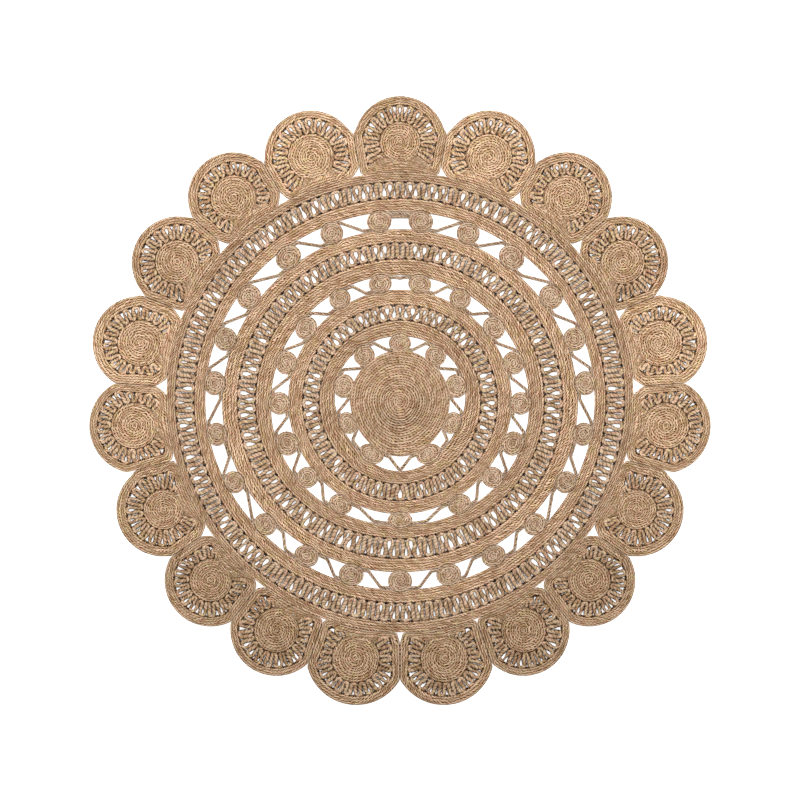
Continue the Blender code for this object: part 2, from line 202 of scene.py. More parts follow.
rosettePress = 7.0
rosetteRows = {
    # angle, half length along the ring, where its cord leaves and where it arrives
    "rosette_chain_1": [
        (0.0, 33.0, 13.5, 24.0), (38.0, 31.5, 50.5, 60.5), (74.8, 35.4, 88.0, 99.5),
        (112.5, 33.3, 123.7, 129.5), (151.5, 37.7, 169.0, 179.0)],
    "rosette_chain_2": [
        (9.6, 34.5, 17.5, 22.5), (30.4, 32.7, 39.5, 45.0), (52.0, 35.1, 59.0, 65.8),
        (71.3, 34.5, 78.0, 84.8), (91.0, 33.6, 97.8, 104.0), (110.5, 36.3, 117.3, 123.0),
        (129.4, 31.2, 136.3, 142.3), (150.0, 35.1, 159.0, 167.5), (180.0, 36.9, 180.0, 180.0)],
    "rosette_chain_3": [
        (6.6, 36.6, 12.0, 18.5), (22.1, 34.2, 27.0, 32.8), (37.8, 39.5, 44.0, 51.3),
        (55.3, 36.9, 60.7, 66.0), (70.4, 34.8, 75.2, 80.0), (84.4, 36.0, 89.3, 96.3),
        (100.2, 34.8, 108.0, 112.5), (116.0, 33.6, 121.0, 128.5), (132.4, 34.8, 138.3, 142.3),
        (148.8, 36.6, 155.3, 159.5), (164.3, 36.9, 169.5, 174.0), (180.0, 36.0, 180.0, 180.0)],
}


def rosettesOf(chain):
    found = []
    for angle, along, _, _ in rosetteRows[chain]:
        inside = edgeRadius(insideOf(chain), angle)
        outside = edgeRadius(chain, angle)
        spot = ((inside + outside) / 2, along, (outside - inside) / 2 + rosettePress)
        found.append((angle, *spot))
        if angle not in (0.0, 180.0):
            found.append((-angle, *spot))
    return found


rosetteSpots = {chain: rosettesOf(chain) for chain in rosetteRows}


def pressedBy(rosette, angle, outward):
    # radius where a ray leaves a rosette's oval, a seam away from it
    centreAngle, centreRadius, along, across = rosette
    turn = math.radians(angle - centreAngle)
    along += seam
    across += seam
    square = (math.sin(turn) / along) ** 2 + (math.cos(turn) / across) ** 2
    middle = centreRadius * math.cos(turn) / across ** 2
    inside = middle ** 2 - square * ((centreRadius / across) ** 2 - 1.0)
    if middle < 0.0 or inside < 0.0:
        return None
    return (middle + outward * math.sqrt(inside)) / square


def edgeLine(name, outward, steps):
    # one radius a step along a piece's outer edge, on its inner (-1) or outer (+1) side
    chain = name if outward > 0 else outsideOf(name)
    radii = []
    for step in range(steps):
        angle = 360.0 * step / steps
        radius = edgeRadius(name, angle) + outward * seam / 2
        for rosette in rosetteSpots.get(chain, ()):
            away = abs((angle - rosette[0] + 180.0) % 360.0 - 180.0)
            reach = pressedBy(rosette, angle, outward) if away < 30.0 else None
            if reach is not None:
                radius = max(radius, reach) if outward > 0 else min(radius, reach)
        radii.append(radius)
    return radii


# cord: every surface is a strip of grid that is laid out row by row

cord = {
    "lobe": 10.0,             # length of one twist along the cord
    "top": 8.0,               # height of a row's crown
    "shoulder": 7.3,          # and a quarter of a row in from the groove
    "groove": 6.5,
    "dip": 0.8,               # grooves are deeper between two twists and shallower beside them
    "edge": 4.6,              # height of a piece's outermost line
    "steep": 0.09,            # the outermost row rises this fast, in rows
    "underGroove": 1.6,
    "twist": 0.28,            # how much the lobes lift and sink
    "drift": 0.35,            # slow change in thickness along a row
    "wander": 0.42,           # how far rows stray sideways, in rows
    "bends": 42.0,            # size of the bends they make
    "zigzag": 0.14,           # how far neighbouring twists push into each other, in rows
    "faded": 0.16,            # rows start this far in from their groove at an outer edge
    "runOut": 0.6,            # a coil's groove rises over this much of its last row
    "sides": 10,              # faces round a free cord
    "freeStep": 5.0,
    "freeHeight": 8.4,
    "squarish": 0.80,         # 1 for a round free cord, less for a squarer one
    "rimTone": 0.42,          # shade along an edge beside an opening
    "crownTone": 1.14,        # shade of a free cord's crown and underside
    "underTone": 0.35,
}
patternY = cadHigh.y / mm - (764.7 + 135.0)   # the top medallion's arc touches the box


def layStrip(bm, steps, columns, place, mapTo, under=False, tones=None):
    # a flat grid whose corners are carried to place(step, column), with its map
    coords = bm.loops.layers.uv.verify()
    # the tone layer carries painted shade along rims, grooves, flanks and stitches, times each piece's
    # own tone
    level = bm.verts.layers.float.get("tone") or bm.verts.layers.float.new("tone")
    made = bmesh.ops.create_grid(bm, x_segments=steps, y_segments=columns, size=0.5, calc_uvs=True)
    faces = set()
    for corner in made["verts"]:
        step = round((corner.co.x + 0.5) * steps)
        column = round((corner.co.y + 0.5) * columns)
        x, y, z = place(step, column)
        corner.co = (x * mm, (y + patternY) * mm, z * mm)
        corner[level] = tones(step, column) if tones else 1.0
        faces.update(corner.link_faces)
    for face in faces:
        for loop in face.loops:
            u, v = loop[coords].uv
            loop[coords].uv = mapTo(round(u * steps), round(v * columns))
    if under:
        bmesh.ops.reverse_faces(bm, faces=list(faces))


def rowHeight(line, seed, along):
    # line counts rows: whole in a groove, a half on a crown
    row = math.floor(line)
    part = line - row
    if part == 0.0:
        return cord["groove"]
    along += 4.1 * row                # rows twist out of step with each other
    lift = cord["drift"] * noise.noise((along * 0.018, (row + seed) * 3.7, 0.5))
    wave = math.cos(2 * math.pi * (along / cord["lobe"] + part))
    height = cord["top"] if part == 0.5 else cord["shoulder"]
    return height + lift + cord["twist"] * wave


def stray(line, lines, x, y, step, seed):
    # sideways wander of the groove between two rows, none at the piece's own edges
    if line in (0, lines):
        return 0.0
    push = cord["zigzag"] if (step + line) % 2 else -cord["zigzag"]
    return push + cord["wander"] * noise.noise((x / cord["bends"], y / cord["bends"], line * 1.7 + seed))


def faded(line, lines):
    # the groove shade starts outside a piece, so that its edge isn't outlined
    return min(max(line, cord["faded"]), lines - cord["faded"])


def ringRows(bm, steps, rows, inner, outer, centre=(0.0, 0.0), start=0.0, seed=0.0,
             atOpenings=(False, False)):
    # closed rows between two edges, each given as one distance a step from the centre, with
    # shade along the inner and the outer edge where openings lie beside it; a row is four faces
    # wide above and two below
    length = steps // 2 * cord["lobe"]

    def spotAt(step, line):
        distance = inner[step] + (outer[step] - inner[step]) * line / rows
        heading = 2 * math.pi * step / steps + math.radians(start)
        return centre[0] + distance * math.sin(heading), centre[1] + distance * math.cos(heading)

    def across(step, line):
        step %= steps
        low = math.floor(line)
        part = line - low
        moved = line + (1 - part) * stray(low, rows, *spotAt(step, low), step, seed)
        if part:
            moved += part * stray(low + 1, rows, *spotAt(step, low + 1), step, seed)
        return spotAt(step, moved)

    def above(step, column):
        line = column / 4
        place = {1: cord["steep"], 4 * rows - 1: rows - cord["steep"]}.get(column, line)
        x, y = across(step, place)
        if column in (0, 4 * rows):
            return x, y, cord["edge"]
        if column % 4 == 0:
            return x, y, cord["groove"] - (cord["dip"] if (step % steps + line) % 2 else -cord["dip"])
        return x, y, rowHeight(line, seed, (step % steps) * length / steps)

    def below(step, column):
        line = column / 2
        x, y = across(step, line)
        if column in (0, 2 * rows):
            return x, y, cord["edge"]
        return x, y, 0.0 if column % 2 else cord["underGroove"]

    def rimTone(step, column):
        shaded = (atOpenings[0] and column < 2) or (atOpenings[1] and column > 4 * rows - 2)
        return cord["rimTone"] if shaded else 1.0

    layStrip(bm, steps, 4 * rows, above,
             lambda step, column: (step * length / steps * mm, faded(column / 4, rows) + seed),
             tones=rimTone)
    layStrip(bm, steps, 2 * rows, below,
             lambda step, column: (step * length / steps * mm, column / 2 + seed), under=True)


def coilRows(bm, turns, sides, outline, centre, way=1, seed=0.0, tones=None, atOpenings=False):
    # one row wound outwards from the centre, its last turn tapering into a round edge
    steps = (turns + 1) * sides
    reach = [outline(360.0 * side / sides) for side in range(sides)]
    mean = sum(math.hypot(*point) for point in reach) / sides

    def grooveAt(step):
        share = min(max((step - sides) / sides / turns, 0.0), 1.0)
        if 0.0 < share < 1.0:
            x, y = (share * value / cord["bends"] for value in reach[step * way % sides])
            calm = min(1.0, (1.0 - share) * turns, share * turns)
            bend = noise.noise((x, y, step / sides * 0.37 + seed))
            share += cord["wander"] / turns * bend * calm
        return share

    grooves = [grooveAt(step) for step in range(steps + sides + 1)]
    lengths = [0.0]
    for step in range(steps):
        share = (grooves[step] + grooves[step + sides]) / 2
        lengths.append(lengths[-1] + 2 * math.pi / sides * max(share * mean, 1.5))

    def shape(step, part, sunk):
        # place and base height a part of the way across the row, and the row's width
        low, high = grooves[step], grooves[step + sides]
        share = low + (high - low) * part
        x, y = reach[step * way % sides]
        base = 0.0
        for groove, weight in ((low, 1 - part), (high, part)):
            # a groove rises to the edge height where it runs out at the rim
            near = min(1.0, (1.0 - groove) * turns / cord["runOut"])
            base += (cord["edge"] + (sunk - cord["edge"]) * near) * weight
        return centre[0] + share * x, centre[1] + share * y, base, min(1.0, (high - low) * turns)

    def above(step, column):
        x, y, base, width = shape(step, column / 4, cord["groove"])
        if column not in (0, 4):
            full = rowHeight(column / 4, 0.31 * step / sides + seed, lengths[step])
            base += (full - base) * width
        return x, y, base

    def below(step, column):
        x, y, base, width = shape(step, column / 2, cord["underGroove"])
        return x, y, base if column in (0, 2) else base * (1 - width)

    def mapTop(step, column):
        last = column == 4 and grooves[step + sides] >= 1.0
        return lengths[step] * mm, (1.0 - cord["faded"] if last else column / 4) + seed

    # painted shade along the last turn where openings lie beside it
    def rimTone(step, column):
        shaded = atOpenings and column == 4 and step >= turns * sides
        return (tones(step, column) if tones else 1.0) * (cord["rimTone"] if shaded else 1.0)

    layStrip(bm, steps, 4, above, mapTop, under=way < 0, tones=rimTone)
    layStrip(bm, steps, 2, below, lambda step, column: (lengths[step] * mm, column / 2 + seed),
             under=way > 0)


def evenly(path, step, closed):
    # the same path with stations an even distance apart
    points = path + path[:1] if closed else path
    run = [0.0]
    for before, after in zip(points, points[1:]):
        run.append(run[-1] + math.hypot(after[0] - before[0], after[1] - before[1]))
    count = max(3, round(run[-1] / step))
    stations = []
    index = 0
    for station in range(count if closed else count + 1):
        target = run[-1] * station / count
        while index < len(run) - 2 and run[index + 1] < target:
            index += 1
        span = run[index + 1] - run[index]
        share = (target - run[index]) / span if span else 0.0
        stations.append([a + (b - a) * share for a, b in zip(points[index], points[index + 1])])
    return stations, run[-1] / count


def freeCord(bm, path, closed=False, strands=1, seed=0.0, height=None, dive=0.0, tone=1.0,
             flankPower=2.0):
    # a round cord along stations of x, y, width and flank shade; an open one has rounded ends
    stations, spacing = evenly(path, cord["freeStep"], closed)
    count = len(stations)
    sides = cord["sides"]
    tall = height or cord["freeHeight"]
    steps = count if closed else count - 1

    def place(step, column):
        index = step % count if closed else step
        x, y, width, _ = stations[index]
        before = stations[(index - 1) % count if closed else max(index - 1, 0)]
        after = stations[(index + 1) % count if closed else min(index + 1, count - 1)]
        run = (after[0] - before[0], after[1] - before[1])
        size = math.hypot(*run) or 1.0
        left = (-run[1] / size, run[0] / size)
        around = math.pi - 2 * math.pi * column / sides
        grow = 1.0 + 0.05 * math.cos(2 * around + math.pi * index)
        sunk = 0.0
        if not closed:
            ends = min(index, count - 1 - index)
            grow *= (0.0, 0.9, 1.0)[min(ends, 2)]
            sunk = dive * max(0.0, 1.0 - ends / 3)
        slow = 1.0 + 0.05 * noise.noise((x * 0.02, y * 0.02, seed))
        cosine, sine = math.cos(around), math.sin(around)
        side = width / 2 * grow * math.copysign(abs(cosine) ** cord["squarish"], cosine)
        rise = tall / 2 * slow * (1.0 + (grow - 1.0) * (0.6 if grow > 0.9 else 1.0))
        rise *= math.copysign(abs(sine) ** cord["squarish"], sine)
        return x + left[0] * side, y + left[1] * side, max(tall / 2 - sunk + rise, 0.0)

    def flankTone(step, column):
        # the flanks are in shade, the underside more so
        flank = abs(math.cos(2 * math.pi * column / sides)) ** flankPower
        if sides // 2 < column < sides:
            return cord["underTone"] * tone
        return (cord["crownTone"] - flank * stations[step % count][3]) * tone

    layStrip(bm, steps, sides, place,
             lambda step, column: (step * spacing * mm, column / sides * 2 * strands + seed),
             tones=flankTone)
    return spacing * steps


# jute: colour and relief follow the cord's own map, u along it and v across the rows

jute = {
    # the dark end of the ramp colours the painted shade in the grooves and between twists
    "shades": {0.0: (0.046, 0.022, 0.010), 0.20: (0.215, 0.120, 0.062),
               0.54: (0.500, 0.318, 0.194), 1.0: (0.760, 0.560, 0.400)},
    "relief": 0.0011,
    "wobble": (0.004, 0.20),  # how far the twists stray along the cord, in metres, and across it
    "crown": 0.84,            # shade of a twist's crown
    "lot": (0.84, 0.60),      # how much the shade changes from twist to twist, and its least
    "streak": (0.20, 0.90),   # the same for stretches of a row
    "fibre": (0.20, 0.90),
    "cloud": (0.14, 0.93),    # and for broad parts of the rug
    "rosy": (1.08, 0.90, 0.95),
    "olive": (0.96, 1.04, 0.78),
    "stain": 0.7,             # strength of the rosy and olive blotches
}


def nodeGroup(name, inputs, outputs):
    group = bpy.data.node_groups.new(name, "ShaderNodeTree")
    for way, sockets in (("INPUT", inputs), ("OUTPUT", outputs)):
        for label, kind in sockets.items():
            group.interface.new_socket(name=label, in_out=way, socket_type="NodeSocket" + kind)
    entry = group.nodes.new("NodeGroupInput")
    return group, entry.outputs, group.nodes.new("NodeGroupOutput").inputs


def calc(tree, operation, *values):
    node = tree.nodes.new("ShaderNodeMath")
    node.operation = operation
    return fill(tree, node, dict(enumerate(values)))[0]


def blotches(tree, vector, scale, detail=1.0, low=0.35, high=0.65):
    # soft noise, stretched to run from 0 to 1
    cloud = fill(tree, tree.nodes.new("ShaderNodeTexNoise"),
                 {"Vector": vector, "Scale": scale, "Detail": detail})
    return fill(tree, tree.nodes.new("ShaderNodeMapRange"),
                {"Value": cloud[0], "From Min": low, "From Max": high})[0]


def vectorOf(tree, x, y, z=0.0):
    return fill(tree, tree.nodes.new("ShaderNodeCombineXYZ"), {0: x, 1: y, 2: z})[0]


def chance(tree, vector):
    node = tree.nodes.new("ShaderNodeTexWhiteNoise")
    node.noise_dimensions = "2D"
    return fill(tree, node, {"Vector": vector})["Value"]


def stained(tree, colour, share, hue):
    # a share of the colour is multiplied by a hue
    node = tree.nodes.new("ShaderNodeMix")
    node.data_type = "RGBA"
    node.blend_type = "MULTIPLY"
    return fill(tree, node, {0: share, 6: colour, 7: (*hue, 1.0)})[2]


def twistGroup():
    group, entry, leave = nodeGroup(
        "cordTwist",
        {"Cord": "Vector", "Place": "Vector", "Lobe": "Float", "Slant": "Float",
         "Neck": "Float", "Belly": "Float", "Line": "Float"},
        {"Shade": "Float", "Relief": "Float"})

    work = partial(calc, group)
    times = partial(calc, group, "MULTIPLY")
    timesPlus = partial(calc, group, "MULTIPLY_ADD")

    split = fill(group, group.nodes.new("ShaderNodeSeparateXYZ"), {0: entry["Cord"]})
    wobble = work("SUBTRACT", blotches(group, entry["Place"], 55.0), 0.5)
    along = timesPlus(wobble, jute["wobble"][0], split[0])
    across = timesPlus(wobble, jute["wobble"][1], split[1])
    row = work("FLOOR", across)
    offset = work("SUBTRACT", work("FRACT", across), 0.5)
    side = times(work("ABSOLUTE", offset), 2.0)
    rowLot = chance(group, vectorOf(group, row, 3.0))

    # how many twists along the cord a point is, half a twist further in every other row
    phase = work("DIVIDE", along, entry["Lobe"])
    phase = work("ADD", phase, times(offset, entry["Slant"]))
    phase = timesPlus(rowLot, 0.16, work("ADD", phase, 0.17))
    phase = timesPlus(row, 0.5, phase)
    ends = work("ABSOLUTE", timesPlus(work("FRACT", phase), 2.0, -1.0))
    swell = work("SUBTRACT", 1.0, work("POWER", ends, 1.5))
    line = work("SUBTRACT", 1.0, work("POWER", ends, 3.5))
    lot = chance(group, vectorOf(group, work("FLOOR", phase), row))
    fibre = blotches(group, vectorOf(group, times(along, 260.0), times(split[1], 9.0), lot), 1.0, 3.0)
    streak = blotches(group, vectorOf(group, times(along, 9.0), times(row, 5.3)), 1.0, 1.0)

    # painted light and shade: a twist is lit inside its outline and shaded beside it, in the grooves
    # between rows and the lines between twists
    reach = timesPlus(swell, entry["Belly"], entry["Neck"])
    near = work("MINIMUM", work("DIVIDE", side, reach), 1.0)
    crown = work("SUBTRACT", 1.0, work("POWER", near, 5.0))
    shade = times(crown, jute["crown"])
    unlined = work("SUBTRACT", 1.0, entry["Line"])
    shade = times(shade, timesPlus(line, entry["Line"], unlined))
    for amount, label in ((lot, "lot"), (streak, "streak"), (fibre, "fibre")):
        shade = times(shade, timesPlus(amount, *jute[label]))
    relief = times(crown, timesPlus(swell, 0.75, 0.25))
    relief = timesPlus(fibre, 0.18, relief)
    group.links.new(shade, leave["Shade"])
    group.links.new(relief, leave["Relief"])
    return group


def tintGroup():
    group, entry, leave = nodeGroup(
        "juteTint",
        {"Colour": "Color", "Place": "Vector", "Tone": "Float", "Rosy": "Float", "Olive": "Float"},
        {"Colour": "Color"})
    shift = group.nodes.new("ShaderNodeVectorMath")
    shift.operation = "ADD"
    moved = fill(group, shift, {0: entry["Place"], 1: (3.1, 7.7, 1.9)})[0]
    rosy = blotches(group, entry["Place"], 75.0, 2.0, 0.50, 0.68)
    olive = blotches(group, moved, 60.0, 2.0, 0.52, 0.70)
    bright = calc(group, "MULTIPLY_ADD", blotches(group, moved, 7.0, 2.0, 0.30, 0.70), *jute["cloud"])
    level = calc(group, "MULTIPLY", entry["Tone"], bright)
    colour = stained(group, entry["Colour"], calc(group, "MULTIPLY", rosy, entry["Rosy"]), jute["rosy"])
    colour = stained(group, colour, calc(group, "MULTIPLY", olive, entry["Olive"]), jute["olive"])
    scaled = group.nodes.new("ShaderNodeVectorMath")
    scaled.operation = "SCALE"
    group.links.new(fill(group, scaled, {0: colour, "Scale": level})[0], leave["Colour"])
    return group


cordTwist = twistGroup()
juteTint = tintGroup()

finishes = {
    # tint of a whole slot, slant of its twists, how wide a twist is at its ends and how much
    # wider at its middle, and how dark the painted shade in the line between two twists is
    "disc_jute": ((1.05, 1.01, 0.955), 1.5, 0.28, 1.00, 0.55),
    "rosette_jute": ((1.16, 1.17, 1.17), 1.5, 0.28, 1.05, 0.50),
    "band_jute": ((1.245, 1.185, 1.108), 1.5, 0.00, 1.30, 0.80),
    "loop_jute": ((1.00, 0.99, 0.96), 1.3, 0.62, 0.48, 0.90),
    "medallion_jute": ((1.20, 1.155, 1.065), 1.5, 0.10, 1.20, 0.68),
}


def juteMaterial(slot):
    slotTint, slant, neck, belly, line = finishes[slot]
    paint = bpy.data.materials.new(slot.replace("_", " "))
    paint.use_nodes = True
    tree = paint.node_tree
    cordMap = tree.nodes.new("ShaderNodeUVMap")
    cordMap.uv_map = "cord"
    # per-vertex tone: painted shade from the cord's strips times each piece's own tone
    toned = tree.nodes.new("ShaderNodeAttribute")
    toned.attribute_name = "tone"
    place = tree.nodes.new("ShaderNodeTexCoord").outputs["Object"]
    twist = tree.nodes.new("ShaderNodeGroup")
    twist.node_tree = cordTwist
    twisted = fill(tree, twist, {"Cord": cordMap.outputs[0], "Place": place, "Lobe": cord["lobe"] * mm,
                                 "Slant": slant, "Neck": neck, "Belly": belly, "Line": line})
    ramp = tree.nodes.new("ShaderNodeValToRGB")
    stops = ramp.color_ramp.elements
    for spot, shade in jute["shades"].items():
        stop = {0.0: stops[0], 1.0: stops[-1]}.get(spot) or stops.new(spot)
        stop.color = (*shade, 1.0)
    colour = fill(tree, ramp, {0: twisted["Shade"]})[0]
    tint = tree.nodes.new("ShaderNodeGroup")
    tint.node_tree = juteTint
    tinted = fill(tree, tint, {"Colour": stained(tree, colour, 1.0, slotTint), "Place": place,
                               "Tone": toned.outputs["Fac"], "Rosy": jute["stain"],
                               "Olive": jute["stain"]})
    bump = fill(tree, tree.nodes.new("ShaderNodeBump"),
                {"Strength": 1.0, "Distance": jute["relief"], "Height": twisted["Relief"]})
    fill(tree, tree.nodes["Principled BSDF"], {"Base Color": tinted["Colour"], "Normal": bump[0],
                                               "Roughness": 0.9, "Specular IOR Level": 0.08})
    return paint


paints = {slot: juteMaterial(slot) for slot in finishes}
print("jute materials ready")


def finishPiece(bm, node, slot, flat, area=None, tone=1.0, mirrored=False):
    # weld the strips, trim open fins, attach the piece to the root body and hide the frame part it
    # stands for
    bmesh.ops.remove_doubles(bm, verts=bm.verts, dist=0.000002)
    fins = [face for face in bm.faces if any(edge.is_boundary for edge in face.edges)]
    bmesh.ops.delete(bm, geom=fins, context="FACES")
    if mirrored:
        bmesh.ops.scale(bm, vec=(-1.0, 1.0, 1.0), verts=bm.verts)
        bmesh.ops.reverse_faces(bm, faces=bm.faces)
    level = bm.verts.layers.float["tone"]
    for corner in bm.verts:
        corner[level] *= tone
    for face in bm.faces:
        face.smooth = True
    skin = sum(face.calc_area() for face in bm.faces) / 2
    openEdges = sum(1 for edge in bm.edges if not edge.is_manifold)
    name = node + "_cord"
    mesh = bpy.data.meshes.new(name)
    bm.to_mesh(mesh)
    bm.free()
    mesh.uv_layers[0].name = "cord"
    mesh.materials.append(paints[slot])
    piece = addObject(name, mesh)
    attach(piece, "root")
    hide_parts(node)
    cut = area or flat[0] * flat[1]
    triangles = sum(len(face.vertices) - 2 for face in mesh.polygons)
    print(f"{name}: {triangles} triangles, cloth {skin / cut:.2f} of flat, {openEdges} open edges")


# centre disc

# darkTurn, darkSpread and dark place the ring of painted groove shade on the disc and set its strength
disc = {"turns": 21, "sides": 168, "darkTurn": 8.5, "darkSpread": 3.0, "dark": 0.6}

bm = bmesh.new()


def creviceShade(step, column):
    # painted shade in the grooves and a little painted light on the crowns, strongest in a ring round
    # the middle and most of all towards the bottom
    around = 2 * math.pi * step / disc["sides"]
    ring = math.exp(-((step / disc["sides"] - disc["darkTurn"]) / disc["darkSpread"]) ** 2)
    sunk = (1.0, 0.5, -0.2, 0.5, 1.0)[column]
    return 1.04 - disc["dark"] * sunk * ring * (0.6 - 0.4 * math.cos(around))


coilRows(bm, disc["turns"], disc["sides"],
         lambda angle: pointAt(edgeRadius("centre_disc", angle) - seam / 2, angle), (0.0, 0.0),
         tones=creviceShade, atOpenings=True)
finishPiece(bm, "centre_disc", "disc_jute", (0.302, 0.302), 0.0712)


# bands

bands = {
    # rows and tone of each band
    "band_1": (6, 0.98), "band_2": (6, 1.08), "band_3": (6, 1.02),
    "band_4": (5, 1.07), "band_5": (5, 1.04), "band_6": (4, 0.93),
}

for name, (rows, tone) in bands.items():
    inside = insideOf(name)
    steps = 2 * round(math.pi * (meanRadius(inside) + meanRadius(name)) / cord["lobe"])
    inner = edgeLine(inside, 1, steps)
    outer = edgeLine(name, -1, steps)
    bm = bmesh.new()
    ringRows(bm, steps, rows, inner, outer, seed=10.0 * int(name[-1]),
             atOpenings=(inside in rosetteRows, outsideOf(name) in rosetteRows))
    ringArea = sum(b * b - a * a for a, b in zip(inner, outer)) / steps * math.pi * mm * mm
    width = sum(b - a for a, b in zip(inner, outer)) / steps * mm
    finishPiece(bm, name, "band_jute", (width, ringArea / width), tone=tone)
print("disc and bands laid")


# rosette chains: coils joined by the cord that slants from one to the next

rosettes = {
    "turns": 5,
    "sides": 36,
    "tieWidth": 9.6,
    "tieHeight": 7.6,
    "tieShade": 0.9,          # shade on the flanks of a tie
    "clear": 0.2,             # room between a tie and the ring's edge
    "hidden": 0.5,            # ties start under a coil, this share of the way out from its middle
    "dive": 1.5,
    "dipAt": 1.9,             # angle where the cord across the top starts to dip
    "tone": {"rosette_chain_1": 0.98, "rosette_chain_2": 0.98, "rosette_chain_3": 0.92},
}
tieInset = rosettes["tieWidth"] / 2 + rosettes["clear"]


def hiddenAngle(spot):
    return rosettes["hidden"] * math.degrees(spot[2] / spot[1])


def mirrorOf(path):
    return [(-x, y) for x, y in path]


def tiePath(chain, start, leaves, reaches, end):
    # along the inner edge, across the ring, then along the outer edge
    near, far = [], []
    for share in (0.0, 0.5, 1.0):
        angle = start + (leaves - start) * share
        near.append(pointAt(edgeRadius(insideOf(chain), angle) + tieInset, angle))
        angle = reaches + (end - reaches) * share
        far.append(pointAt(edgeRadius(chain, angle) - tieInset, angle))
    between = [tuple(a + (b - a) * share for a, b in zip(near[-1], far[0])) for share in (0.1, 0.9)]
    return near + between + far


def soften(path):
    # rounds the corners of an open path, its ends held
    rounded = [path[0]]
    for before, after in zip(path, path[1:]):
        for share in (0.25, 0.75):
            rounded.append(tuple(a * (1 - share) + b * share for a, b in zip(before, after)))
    return rounded + [path[-1]]


def tiePaths(chain):
    spots = {spot[0]: spot for spot in rosetteSpots[chain]}
    rows = rosetteRows[chain]
    paths = []
    for row, after in zip(rows, rows[1:]):
        start = row[0] + hiddenAngle(spots[row[0]])
        end = after[0] - hiddenAngle(spots[after[0]])
        path = tiePath(chain, start, row[2], row[3], end)
        paths += [path, mirrorOf(path)]
    if chain == "rosette_chain_1":
        angle, _, leaves, reaches = rows[-1]
        half = tiePath(chain, angle + hiddenAngle(spots[angle]), leaves, reaches, 180.0)[:6]
        low = pointAt(edgeRadius(chain, 180.0) - tieInset, 180.0)
        return paths + [half + [low] + mirrorOf(half[::-1])]
    near = rows[0][0] - hiddenAngle(spots[rows[0][0]])
    single = chain == "rosette_chain_2"
    for sag in [rosettes["tieWidth"] / 2] if single else [0.0, rosettes["tieWidth"]]:
        half = [pointAt(edgeRadius(chain, near) - tieInset - (0.0 if single else sag), near)]
        if single:
            half.append(pointAt(edgeRadius(chain, rosettes["dipAt"]) - tieInset, rosettes["dipAt"]))
        middle = pointAt(edgeRadius(chain, 0.0) - tieInset - sag, 0.0)
        paths.append(mirrorOf(half) + [middle] + half[::-1])
    return paths


full = 1.0 / math.cos(math.pi / rosettes["sides"])   # a coil's corners lie just past its oval
for chain in rosetteRows:
    bm = bmesh.new()
    covered = 0.0
    for angle, radius, along, across in rosetteSpots[chain]:
        lean = math.radians(angle)

        def oval(turn):
            side = full * along * math.sin(math.radians(turn))
            out = full * across * math.cos(math.radians(turn))
            return (side * math.cos(lean) + out * math.sin(lean),
                    out * math.cos(lean) - side * math.sin(lean))

        coilRows(bm, rosettes["turns"], rosettes["sides"], oval, pointAt(radius, angle),
                 1 if angle >= 0.0 else -1, seed=7.0 * round(abs(angle)), atOpenings=True)
        covered += math.pi * along * across
    for number, path in enumerate(tiePaths(chain)):
        rounded = [(x, y, rosettes["tieWidth"], rosettes["tieShade"]) for x, y in soften(path)]
        length = freeCord(bm, rounded, strands=2, seed=3.0 + number,
                          height=rosettes["tieHeight"], dive=rosettes["dive"])
        covered += 0.7 * length * rosettes["tieWidth"]
    inside, outside = meanRadius(insideOf(chain)), meanRadius(chain)
    width = (outside - inside + 2 * rosettePress) * mm
    finishPiece(bm, chain, "rosette_jute", (width, math.pi * (inside + outside) * mm),
                covered * mm * mm, tone=rosettes["tone"][chain])
print("rosettes coiled")


# loop rings: one cord laid in and out, each turn round an opening

loops = {
    "cap": 9.4,               # width of the cord where it turns
    "square": 2.4,            # 2 turns in a round arc, more in a squarer one
    "narrowest": 6.5,
    "widest": 15.5,
    "pressed": 0.8,           # legs meet this much over where no opening parts them
    "open": 5.3,              # half the width of the widest opening
    "sizes": (0.0, 0.0, 0.5, 0.6, 0.75),   # the other openings, as a share of it
    "tip": 0.30,              # where the widest opening starts, as a share of the way across
    "shorter": 0.38,          # how much nearer to its turn a small opening starts
    "lean": 7.0,              # how far legs lean, in millimetres
    "stray": 2.2,
    "past": 1.05,             # a fan's cord starts and ends just under the rim
    "curl": 2.2,              # how far legs bend out of line
    "swings": (-90, -65, -42, -20, 0, 20, 42, 65, 90),     # stations round a turn, in degrees
    "shares": (0.0, 0.17, 0.33, 0.5, 0.67, 0.83, 1.0),     # and along a leg
    "flank": 1.6,             # how narrow the shade on a leg's flanks is
    "tone": (1.02, 1.02, 1.00),
    "stitchWidth": 7.0,       # sunk stitch strips under the turns, along both edges, dark with painted shade
    "stitchHeight": (0.4, 3.0),
    # shade on the stitch strips: painted shade that darkens the notches between the turns
    "stitchShade": 0.8,
    "stitchSteps": 240,
    "clear": 0.1,
}
loopCounts = [
    # angle, openings passed so far in ring 1, 2 and 3
    (0.0, 0.0, 0.0, 0.0), (15.0, 3.9, 8.1, 10.4), (30.0, 9.5, 15.2, 20.8), (45.0, 14.3, 22.7, 32.5),
    (60.0, 19.1, 30.8, 43.0), (75.0, 23.6, 38.5, 54.5), (90.0, 27.6, 46.5, 65.7),
    (105.0, 32.1, 54.4, 76.0), (120.0, 36.7, 62.8, 86.0), (135.0, 41.3, 70.6, 97.4),
    (150.0, 46.9, 79.6, 108.1), (165.0, 52.7, 87.2, 119.8), (180.0, 58.0, 94.0, 131.0),
]
